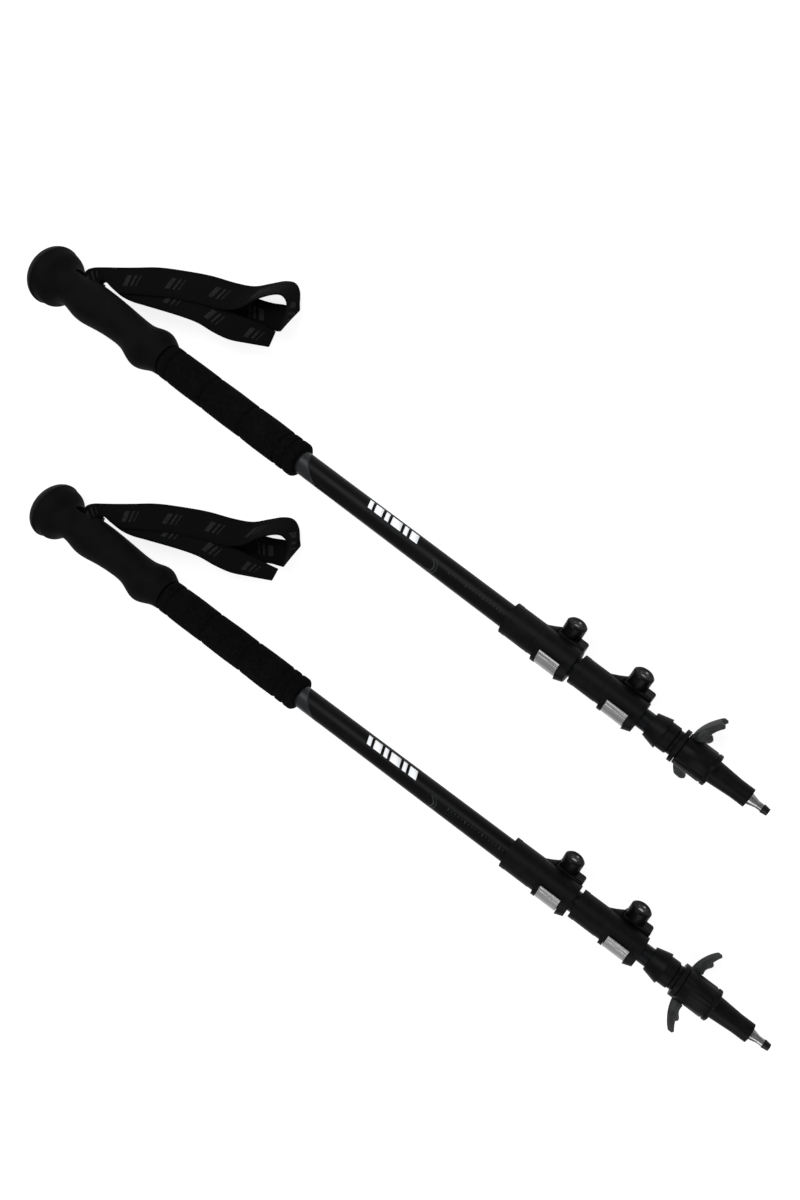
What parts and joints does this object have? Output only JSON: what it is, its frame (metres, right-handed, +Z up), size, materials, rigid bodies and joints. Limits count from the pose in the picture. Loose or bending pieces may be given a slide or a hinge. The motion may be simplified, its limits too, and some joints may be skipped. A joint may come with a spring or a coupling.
{
  "type": "trekking poles",
  "caption": "Pair of collapsible walking poles with foam grips, wrist straps, lever-locked telescoping tubes, snow baskets and hard metal tips.",
  "frame": {"origin": "middle of the pair's footprint, on the table they lie on", "axes": "+X from the grips towards the tips, +Y towards the left pole and the side of the straps and lock knobs, +Z up from the table"},
  "size_m": [0.7824, 0.3, 0.0509],
  "materials": {
    "grip_rubber": "moulded, fine texture",
    "cap_rubber": "soft touch",
    "foam": "closed-cell foam, matte",
    "strap_webbing": "woven webbing with a grey pattern",
    "tube_paint": "satin black with plain grey graphics",
    "tube_anodised": "black anodised",
    "clamp_plastic": "moulded, satin",
    "shim_plastic": "smooth nylon",
    "knob_plastic": "polished",
    "lever_metal": "brushed",
    "pin_steel": "turned",
    "tip_plastic": "moulded",
    "basket_plastic": "moulded, satin grey",
    "chrome_steel": "plated",
    "carbide": "sintered, rough"
  },
  "bodies": {
    "left_handle": {"left_grip_body": "grip_rubber", "left_grip_cap": "cap_rubber", "left_foam_sleeve": "foam", "left_strap_pin": "pin_steel", "left_upper_tube": "tube_paint", "left_one_lock_clamp": "clamp_plastic", "left_one_lock_shim": "shim_plastic", "left_one_lock_eye_bolt": "pin_steel", "left_one_lock_pivot_pin": "pin_steel", "left_one_lock_cam_saddle": "shim_plastic"},
    "left_middle_section": {"left_middle_tube": "tube_anodised", "left_middle_guide": "clamp_plastic", "left_two_lock_clamp": "clamp_plastic", "left_two_lock_shim": "shim_plastic", "left_two_lock_eye_bolt": "pin_steel", "left_two_lock_pivot_pin": "pin_steel", "left_two_lock_cam_saddle": "shim_plastic"},
    "left_lower_section": {"left_lower_tube": "tube_anodised", "left_lower_guide": "clamp_plastic", "left_ferrule": "tip_plastic", "left_tip_stem": "chrome_steel", "left_carbide_tip": "carbide"},
    "left_basket_ring": {"left_basket": "basket_plastic"},
    "left_hand_strap": {"left_strap": "strap_webbing"},
    "left_wedge": {"left_strap_wedge": "clamp_plastic"},
    "left_one_lever": {"left_one_lock_lever": "lever_metal"},
    "left_one_adjuster": {"left_one_lock_knob": "knob_plastic"},
    "left_two_lever": {"left_two_lock_lever": "lever_metal"},
    "left_two_adjuster": {"left_two_lock_knob": "knob_plastic"},
    "right_handle": {"right_grip_body": "grip_rubber", "right_grip_cap": "cap_rubber", "right_foam_sleeve": "foam", "right_strap_pin": "pin_steel", "right_upper_tube": "tube_paint", "right_one_lock_clamp": "clamp_plastic", "right_one_lock_shim": "shim_plastic", "right_one_lock_eye_bolt": "pin_steel", "right_one_lock_pivot_pin": "pin_steel", "right_one_lock_cam_saddle": "shim_plastic"},
    "right_middle_section": {"right_middle_tube": "tube_anodised", "right_middle_guide": "clamp_plastic", "right_two_lock_clamp": "clamp_plastic", "right_two_lock_shim": "shim_plastic", "right_two_lock_eye_bolt": "pin_steel", "right_two_lock_pivot_pin": "pin_steel", "right_two_lock_cam_saddle": "shim_plastic"},
    "right_lower_section": {"right_lower_tube": "tube_anodised", "right_lower_guide": "clamp_plastic", "right_ferrule": "tip_plastic", "right_tip_stem": "chrome_steel", "right_carbide_tip": "carbide"},
    "right_basket_ring": {"right_basket": "basket_plastic"},
    "right_hand_strap": {"right_strap": "strap_webbing"},
    "right_wedge": {"right_strap_wedge": "clamp_plastic"},
    "right_one_lever": {"right_one_lock_lever": "lever_metal"},
    "right_one_adjuster": {"right_one_lock_knob": "knob_plastic"},
    "right_two_lever": {"right_two_lock_lever": "lever_metal"},
    "right_two_adjuster": {"right_two_lock_knob": "knob_plastic"}
  },
  "joints": [
    {"name": "left_middle_slide", "type": "slide", "parent": "left_handle", "child": "left_middle_section", "axis": [0.9995, -0.0307, 0.009], "range_m": [0, 0.33]},
    {"name": "left_lower_slide", "type": "slide", "parent": "left_middle_section", "child": "left_lower_section", "axis": [0.9995, -0.0307, 0.009], "range_m": [0, 0.33]},
    {"name": "left_one_lever_hinge", "type": "hinge", "parent": "left_handle", "child": "left_one_lever", "pos_m": [0.13727, 0.01736, 0.01511], "axis": [0.9995, -0.0307, 0.009], "range_deg": [0, 100]},
    {"name": "left_one_knob_turn", "type": "hinge", "parent": "left_handle", "child": "left_one_adjuster", "pos_m": [0.13811, 0.04638, 0.02181], "axis": [0.0279, 0.974, 0.2249], "continuous": true},
    {"name": "left_two_lever_hinge", "type": "hinge", "parent": "left_middle_section", "child": "left_two_lever", "pos_m": [0.19183, 0.01546, 0.01657], "axis": [0.9995, -0.0307, 0.009], "range_deg": [0, 100]},
    {"name": "left_two_knob_turn", "type": "hinge", "parent": "left_middle_section", "child": "left_two_adjuster", "pos_m": [0.19266, 0.04448, 0.02328], "axis": [0.0279, 0.974, 0.2249], "continuous": true},
    {"name": "left_basket_turn", "type": "hinge", "parent": "left_lower_section", "child": "left_basket_ring", "pos_m": [0.24912, 0.02833, 0.03154], "axis": [0.9995, -0.0307, 0.009], "continuous": true},
    {"name": "left_strap_swing", "type": "hinge", "parent": "left_handle", "child": "left_hand_strap", "pos_m": [-0.34532, 0.05309, 0.02019], "axis": [0.9995, -0.0307, 0.009], "range_deg": [0, 45]},
    {"name": "left_wedge_slide", "type": "slide", "parent": "left_handle", "child": "left_wedge", "axis": [0.0307, 0.9995, 0], "range_m": [0, 0.003]},
    {"name": "poles_apart", "type": "slide", "parent": "left_handle", "child": "right_handle", "axis": [0, -1, 0], "range_m": [-0.02, 0.3]},
    {"name": "right_middle_slide", "type": "slide", "parent": "right_handle", "child": "right_middle_section", "axis": [0.9995, 0.0307, 0.009], "range_m": [0, 0.33]},
    {"name": "right_lower_slide", "type": "slide", "parent": "right_middle_section", "child": "right_lower_section", "axis": [0.9995, 0.0307, 0.009], "range_m": [0, 0.33]},
    {"name": "right_one_lever_hinge", "type": "hinge", "parent": "right_handle", "child": "right_one_lever", "pos_m": [0.2262, -0.12538, 0.01698], "axis": [0.9995, 0.0307, 0.009], "range_deg": [0, 100]},
    {"name": "right_one_knob_turn", "type": "hinge", "parent": "right_handle", "child": "right_one_adjuster", "pos_m": [0.22526, -0.09576, 0.02009], "axis": [-0.0315, 0.994, 0.1045], "continuous": true},
    {"name": "right_two_lever_hinge", "type": "hinge", "parent": "right_middle_section", "child": "right_two_lever", "pos_m": [0.28076, -0.12381, 0.01846], "axis": [0.9995, 0.0307, 0.009], "range_deg": [0, 100]},
    {"name": "right_two_knob_turn", "type": "hinge", "parent": "right_middle_section", "child": "right_two_adjuster", "pos_m": [0.27982, -0.09419, 0.02158], "axis": [-0.0315, 0.994, 0.1045], "continuous": true},
    {"name": "right_basket_turn", "type": "hinge", "parent": "right_lower_section", "child": "right_basket_ring", "pos_m": [0.33712, -0.10579, 0.03154], "axis": [0.9995, 0.0307, 0.009], "continuous": true},
    {"name": "right_strap_swing", "type": "hinge", "parent": "right_handle", "child": "right_hand_strap", "pos_m": [-0.25772, -0.11757, 0.02019], "axis": [0.9995, 0.0307, 0.009], "range_deg": [0, 45]},
    {"name": "right_wedge_slide", "type": "slide", "parent": "right_handle", "child": "right_wedge", "axis": [-0.0307, 0.9995, 0], "range_m": [0, 0.003]}
  ]
}
